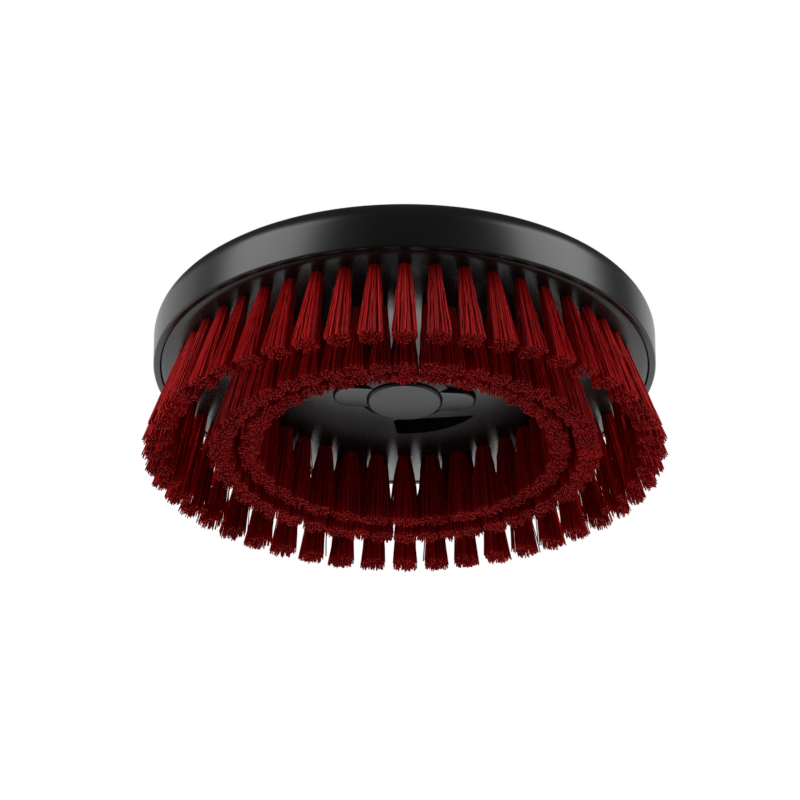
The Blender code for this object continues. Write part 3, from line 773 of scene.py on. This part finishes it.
# ---- Settings ------------------------------------------------------------------------------------
class BrushSizes(bpy.types.PropertyGroup):
    body_radius: FloatProperty(
        name="Body radius", description="Outer radius of the cover", default=0.1, unit="LENGTH"
    )
    corner_radius: FloatProperty(
        name="Corner radius", description="Rounding of the cover's top", default=0.0105, unit="LENGTH"
    )
    rim_round: FloatProperty(
        name="Rim rounding", description="Rounding of the lower edge", default=0.0009, unit="LENGTH"
    )
    dome_depth: FloatProperty(
        name="Dome depth", description="Flat centre below the rim", default=0.0112, unit="LENGTH"
    )
    strands: IntProperty(name="Filaments", description="Filaments in each tuft", default=128, min=12)
    strand_radius: FloatProperty(
        name="Filament radius", description="Radius of one filament", default=0.00025, unit="LENGTH"
    )
    trim: FloatProperty(
        name="Trim", description="Most that a tip falls short of the cut", default=0.0012, unit="LENGTH"
    )
    bow: FloatProperty(
        name="Bow", description="How far a filament bows sideways", default=0.00018, unit="LENGTH"
    )
    crimp: FloatProperty(
        name="Crimp", description="Height of the filaments' waves", default=0.00022, unit="LENGTH"
    )


class BrushColours(bpy.types.PropertyGroup):
    plastic: FloatVectorProperty(
        name="Plastic", description="Cover and block", default=(0.0065, 0.0065, 0.0070), subtype="COLOR"
    )
    filament: FloatVectorProperty(
        name="Filament", description="Every row's tufts", default=(0.440, 0.0065, 0.0085), subtype="COLOR"
    )
    steel: FloatVectorProperty(
        name="Steel", description="Screws, sleeve and washer", default=(0.55, 0.56, 0.58), subtype="COLOR"
    )
    hub: FloatVectorProperty(
        name="Hub plastic", description="Flange and collar", default=(0.020, 0.020, 0.021), subtype="COLOR"
    )
    rubber: FloatVectorProperty(
        name="Rubber", description="Shaft seal", default=(0.020, 0.020, 0.020), subtype="COLOR"
    )


class StudioSettings(bpy.types.PropertyGroup):
    distance: FloatProperty(
        name="Camera distance", description="Camera to the rim's centre", default=2.2, unit="LENGTH"
    )
    elevation: FloatProperty(
        name="Elevation", description="Camera above the rim", default=math.radians(-28), subtype="ANGLE"
    )
    lens: FloatProperty(name="Lens", description="Focal length in millimetres", default=248.6)
    aside: FloatProperty(
        name="Aim aside", description="Aim point along the view's width", default=-0.00183, unit="LENGTH"
    )
    below: FloatProperty(
        name="Aim below", description="Aim point below the rim's centre", default=0.01175, unit="LENGTH"
    )
    side_power: FloatProperty(name="Side light", description="Power of each side panel", default=16.0)
    low_power: FloatProperty(name="Low light", description="Power of the low panel", default=2.2)
    floor_glow: FloatProperty(name="Floor", description="Brightness that keeps the floor pale", default=0.62)
    backdrop: FloatProperty(name="Backdrop", description="Brightness behind the brush", default=1.0)
    under: FloatProperty(name="Under", description="Share of the light from below", default=0.6)
    front_shade: FloatProperty(name="Front", description="Brightness on the camera's side", default=0.06)


# ---- Operators -----------------------------------------------------------------------------------
class BRUSH_OT_cover(bpy.types.Operator):
    """Build the smooth outer shell with its screw pockets"""

    bl_idname = "brush.cover"
    bl_label = "Cover"

    def execute(self, context):
        add_piece("cover_shell", cover_mesh(context.scene.brush_sizes), "cover", sharp=30)
        return {"FINISHED"}


class BRUSH_OT_block(bpy.types.Operator):
    """Build the polished block that carries the tufts"""

    bl_idname = "brush.block"
    bl_label = "Tuft block"

    def execute(self, context):
        add_piece("tuft_block", block_mesh(context.scene.brush_sizes), "brush_block", sharp=30)
        return {"FINISHED"}


class BRUSH_OT_tufts(bpy.types.Operator):
    """Build the filaments of all three rows"""

    bl_idname = "brush.tufts"
    bl_label = "Tufts"

    def execute(self, context):
        sizes = context.scene.brush_sizes
        template = strand_template(STRAND_SEGMENTS)
        for row in ROWS:
            for group in range(GROUPS):
                node = f"{row.name}_{group + 1}"
                name = node.replace("tufts", "strands")
                add_piece(name, tuft_mesh(name, row, sizes, template, group), node, sharp=60)
        return {"FINISHED"}


class BRUSH_OT_lock(bpy.types.Operator):
    """Build the finger knob and its cap"""

    bl_idname = "brush.lock"
    bl_label = "Twist lock"

    def execute(self, context):
        add_piece("finger_knob", knob_mesh(), "lock_knob")
        add_piece("finger_cap", cap_mesh(), "knob_cap")
        return {"FINISHED"}


class BRUSH_OT_drive(bpy.types.Operator):
    """Build the hub, the spindle sleeve and the cover's screws"""

    bl_idname = "brush.drive"
    bl_label = "Drive and screws"

    def execute(self, context):
        add_piece("spindle_sleeve", sleeve_mesh(), "drive_sleeve")
        add_piece("drive_hub", hub_mesh(), "hub_flange")
        for index, angle in enumerate(around(COVER_SCREWS, COVER_SCREW_ANGLE)):
            name = f"shell_screw_{index + 1}"
            add_piece(name, screw_mesh(name, angle), f"cover_screw_{index + 1}")
        return {"FINISHED"}


class BRUSH_OT_inner_parts(bpy.types.Operator):
    """Give the pieces that stay as they are packed their finishes"""

    bl_idname = "brush.inner_parts"
    bl_label = "Inner parts"

    def execute(self, context):
        for name, node in frame["nodes"].items():
            if node.hide_render:
                continue
            node.data.materials.clear()
            node.data.materials.append(finish_for(SLOT_OF[name]))
        return {"FINISHED"}


class BRUSH_OT_studio(bpy.types.Operator):
    """Set up the floor, the side panels, the backdrop light and the camera"""

    bl_idname = "brush.studio"
    bl_label = "Studio"

    def execute(self, context):
        studio = context.scene.brush_studio
        floor = bmesh.new()
        bmesh.ops.create_grid(floor, x_segments=1, y_segments=1, size=FLOOR_HALF)
        bmesh.ops.translate(floor, verts=floor.verts, vec=(0, 0, -FLOOR_DEPTH))
        ground = link("floor", mesh_of("floor", floor))
        paper = Finish("floor_paper", Roughness=0.8, Emission_Strength=studio.floor_glow)
        paper.shader.inputs["Emission Color"].default_value = (1.0, 1.0, 1.0, 1.0)
        soft = paper.noise(3.0, 2.0)
        paper.feed("Base Color", paper.ramp(soft, (0.2, (0.80, 0.80, 0.80)), (0.8, (0.84, 0.84, 0.84))))
        ground.data.materials.append(paper.material)
        # The world's light stands for the floor's bounce, so that the camera's side stays dark.
        ground.visible_diffuse = False
        ground.visible_glossy = False
        self.panels(context, studio)
        self.sky(context, studio)
        self.camera(context, studio)
        context.scene.view_settings.view_transform = "Standard"
        return {"FINISHED"}

    def panels(self, context, studio):
        """Two tall panels beside the brush, a little to the camera's side, and one low behind it."""
        for angle in SIDE_PANEL_ANGLES:
            place = Vector((math.sin(angle), -math.cos(angle), SIDE_PANEL_RISE)) * SIDE_PANEL_DISTANCE
            self.panel(context, "side_panel", place, SIDE_PANEL_SIZE, studio.side_power)
        place = LOW_PANEL_SIDE * LOW_PANEL_DISTANCE
        self.panel(context, "low_panel", place, LOW_PANEL_SIZE, studio.low_power)

    def panel(self, context, name, place, size, power):
        """An area light at a place measured from the rim's centre, aimed at it."""
        light = bpy.data.lights.new(name, "AREA")
        light.shape = "RECTANGLE"
        light.size, light.size_y = size
        light.energy = power
        panel = bpy.data.objects.new(name, light)
        context.scene.collection.objects.link(panel)
        panel.location = Vector((0, 0, RIM_HEIGHT)) + place
        panel.rotation_euler = (-place).to_track_quat("-Z", "Y").to_euler()
        panel.visible_camera = False

    def sky(self, context, studio):
        """Plain white to the camera. As light, bright behind the brush and below it, dark in front."""
        world = bpy.data.worlds.new("studio")
        world.use_nodes = True
        context.scene.world = world
        tree = world.node_tree
        place = tree.nodes.new("ShaderNodeTexCoord")
        split = tree.nodes.new("ShaderNodeSeparateXYZ")
        tree.links.new(place.outputs["Generated"], split.inputs[0])
        turn = tree.nodes.new("ShaderNodeVectorMath")
        turn.operation = "DOT_PRODUCT"
        turn.inputs[1].default_value = BACKDROP_SIDE
        tree.links.new(place.outputs["Generated"], turn.inputs[0])
        behind = self.fade(tree, turn.outputs["Value"], 0.30, 0.55)
        low = self.fade(tree, split.outputs["Z"], 0.64, 0.50)
        aside = self.combine(tree, "ABSOLUTE", split.outputs["X"])
        spread = self.combine(tree, "ADD", split.outputs["Y"], aside)
        beside = self.fade(tree, spread, 0.0, 0.7)
        under = self.fade(tree, split.outputs["Z"], -0.05, -0.45)
        floor_light = self.combine(tree, "MULTIPLY", beside, under)
        floor_light = self.combine(tree, "MULTIPLY", floor_light, studio.under)
        wall_light = self.combine(tree, "MULTIPLY", behind, low)
        ramp = tree.nodes.new("ShaderNodeMapRange")
        ramp.inputs["To Min"].default_value = studio.front_shade
        ramp.inputs["To Max"].default_value = studio.backdrop
        tree.links.new(self.combine(tree, "MAXIMUM", wall_light, floor_light), ramp.inputs["Value"])
        path = tree.nodes.new("ShaderNodeLightPath")
        blend = tree.nodes.new("ShaderNodeMix")
        blend.inputs["B"].default_value = studio.backdrop
        tree.links.new(path.outputs["Is Camera Ray"], blend.inputs["Factor"])
        tree.links.new(ramp.outputs["Result"], blend.inputs["A"])
        tree.links.new(blend.outputs["Result"], tree.nodes["Background"].inputs["Strength"])
        tree.nodes["Background"].inputs["Color"].default_value = (1, 1, 1, 1)

    def combine(self, tree, operation, *values):
        """A Math node on sockets and numbers."""
        made = tree.nodes.new("ShaderNodeMath")
        made.operation = operation
        for place, value in zip(made.inputs, values):
            if isinstance(value, float):
                place.default_value = value
            else:
                tree.links.new(value, place)
        return made.outputs[0]

    def fade(self, tree, value, start, end):
        """0 at start and 1 at end, with a smooth change between them."""
        ramp = tree.nodes.new("ShaderNodeMapRange")
        ramp.interpolation_type = "SMOOTHSTEP"
        ramp.inputs["From Min"].default_value = start
        ramp.inputs["From Max"].default_value = end
        tree.links.new(value, ramp.inputs["Value"])
        return ramp.outputs["Result"]

    def camera(self, context, studio):
        data = bpy.data.cameras.new("camera")
        data.lens = studio.lens
        data.clip_end = 50
        camera = bpy.data.objects.new("camera", data)
        context.scene.collection.objects.link(camera)
        angle = studio.elevation
        forward = Vector((0, math.cos(angle), -math.sin(angle)))
        up = Vector((0, math.sin(angle), math.cos(angle)))
        aim = Vector((studio.aside, 0, RIM_HEIGHT)) - up * studio.below
        camera.location = aim - forward * studio.distance
        camera.rotation_euler = forward.to_track_quat("-Z", "Y").to_euler()
        context.scene.camera = camera


class BRUSH_PT_sidebar(bpy.types.Panel):
    """Lists the brush's steps and settings"""

    bl_idname = "BRUSH_PT_sidebar"
    bl_label = "Wheel brush"
    bl_space_type = "VIEW_3D"
    bl_region_type = "UI"
    bl_category = "Wheel brush"

    def draw(self, context):
        layout = self.layout
        for step in STEPS:
            layout.operator(step.bl_idname)
        for settings in (context.scene.brush_sizes, context.scene.brush_colours, context.scene.brush_studio):
            box = layout.box()
            for name in settings.__annotations__:
                box.prop(settings, name)


STEPS = (
    BRUSH_OT_cover,
    BRUSH_OT_block,
    BRUSH_OT_tufts,
    BRUSH_OT_lock,
    BRUSH_OT_drive,
    BRUSH_OT_inner_parts,
    BRUSH_OT_studio,
)
CLASSES = (BrushSizes, BrushColours, StudioSettings, *STEPS, BRUSH_PT_sidebar)


def register():
    for cls in CLASSES:
        bpy.utils.register_class(cls)
    bpy.types.Scene.brush_sizes = PointerProperty(type=BrushSizes)
    bpy.types.Scene.brush_colours = PointerProperty(type=BrushColours)
    bpy.types.Scene.brush_studio = PointerProperty(type=StudioSettings)


def unregister():
    for name in ("brush_sizes", "brush_colours", "brush_studio"):
        delattr(bpy.types.Scene, name)
    for cls in reversed(CLASSES):
        bpy.utils.unregister_class(cls)


def main():
    register()
    bpy.ops.brush.cover()
    bpy.ops.brush.block()
    bpy.ops.brush.tufts()
    bpy.ops.brush.lock()
    bpy.ops.brush.drive()
    bpy.ops.brush.inner_parts()
    bpy.ops.brush.studio()


if __name__ == "__main__":
    main()
